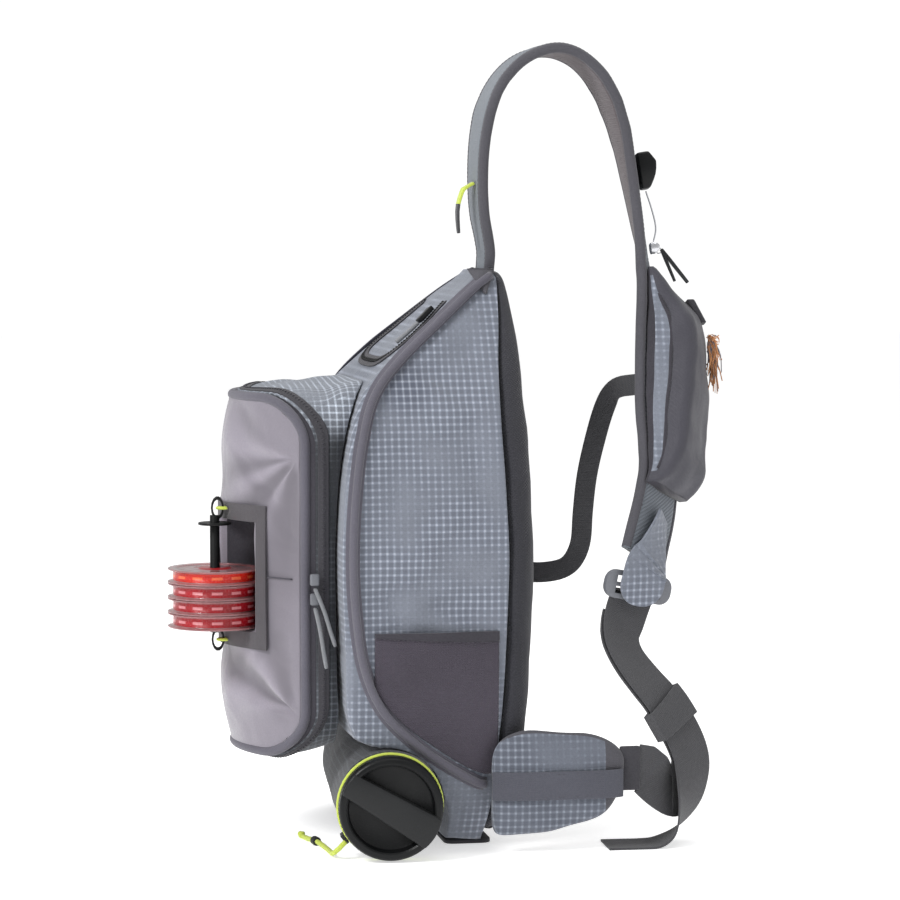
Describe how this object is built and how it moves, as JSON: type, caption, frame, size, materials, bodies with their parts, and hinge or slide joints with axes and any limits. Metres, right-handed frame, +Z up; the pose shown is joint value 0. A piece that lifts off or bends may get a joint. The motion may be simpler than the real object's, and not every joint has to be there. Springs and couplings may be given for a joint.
{
  "type": "fishing_sling_bag",
  "caption": "Fishing sling bag with an insulated bottle under it, a rack of four tippet spools on its pocket, a padded shoulder strap with a pouch, and a hip wing",
  "frame": {"origin": "on the floor, in the middle of the sole under the main bag", "axes": "+Z up, along the bag's height; +X towards the wearer's back, where the back panel and the strap are; -Y towards the side that carries the hip wing and the bottle's cap"},
  "size_m": [0.4337, 0.2892, 0.6246],
  "materials": {
    "grid_cloth": "ripstop with a light grid, dry",
    "dark_grid_cloth": "dark ripstop, dry",
    "lid_cloth": "ripstop over foam",
    "binding": "woven binding",
    "pad_cloth": "dense dark cloth",
    "mesh_cloth": "stretch mesh",
    "strap_cloth": "ribbed cloth over foam",
    "webbing": "woven webbing",
    "zip_tape": "coated zip tape",
    "lime_cord": "braided elastic cord",
    "fly_fibre": "soft fibre",
    "dark_plastic": "fine texture",
    "spool_red": "moulded, semi-gloss",
    "dark_metal": "black coating",
    "bottle_steel": "powder coat"
  },
  "bodies": {
    "bag": {"main_shell": "grid_cloth", "back_panel": "pad_cloth", "base_panel": "dark_plastic", "bag_piping_near": "binding", "bag_piping_far": "binding", "side_mesh_pocket": "mesh_cloth", "main_zipper": "zip_tape", "main_slider": "dark_metal", "main_pull": "webbing", "pocket_shell": "dark_grid_cloth", "pocket_lid": "lid_cloth", "pocket_piping": "binding", "pocket_zipper": "zip_tape", "pocket_slider_upper": "dark_metal", "pocket_slider_lower": "dark_metal", "pocket_pull_upper": "webbing", "pocket_pull_lower": "webbing", "rack_patch": "pad_cloth", "rack_bar": "dark_metal", "rack_loop_upper": "lime_cord", "rack_loop_lower": "lime_cord", "rack_washer": "dark_plastic", "bottle_sleeve": "dark_grid_cloth", "drawcord_ring": "lime_cord", "drawcord_tab": "webbing", "drawcord_tail": "lime_cord", "drawcord_stop": "dark_plastic", "bottle_body": "bottle_steel", "bottle_cap": "dark_plastic", "hip_wing": "grid_cloth", "wing_band": "webbing", "wing_tab": "pad_cloth", "strap_pad": "strap_cloth", "strap_pocket": "grid_cloth", "strap_pocket_zipper": "zip_tape", "strap_tab": "strap_cloth", "ladder_buckle": "dark_plastic", "tail_webbing": "webbing", "belt_webbing": "webbing", "webbing_keeper": "webbing", "stabiliser_webbing": "webbing", "strap_loop_tab": "lime_cord", "retractor": "dark_plastic", "retractor_wire": "dark_metal", "tool_clip": "dark_metal", "nipper": "dark_metal", "fly_box": "pad_cloth", "fly": "fly_fibre"},
    "spool_1_body": {"spool_1": "spool_red"},
    "spool_2_body": {"spool_2": "spool_red"},
    "spool_3_body": {"spool_3": "spool_red"},
    "spool_4_body": {"spool_4": "spool_red"}
  },
  "joints": [
    {"name": "spool_1_turn", "type": "hinge", "parent": "bag", "child": "spool_1_body", "pos_m": [-0.1916, -0.026, 0.1736], "axis": [0, 0, 1], "continuous": true},
    {"name": "spool_2_turn", "type": "hinge", "parent": "bag", "child": "spool_2_body", "pos_m": [-0.1916, -0.026, 0.1852], "axis": [0, 0, 1], "continuous": true},
    {"name": "spool_3_turn", "type": "hinge", "parent": "bag", "child": "spool_3_body", "pos_m": [-0.1916, -0.026, 0.1968], "axis": [0, 0, 1], "continuous": true},
    {"name": "spool_4_turn", "type": "hinge", "parent": "bag", "child": "spool_4_body", "pos_m": [-0.1916, -0.026, 0.2084], "axis": [0, 0, 1], "continuous": true}
  ]
}
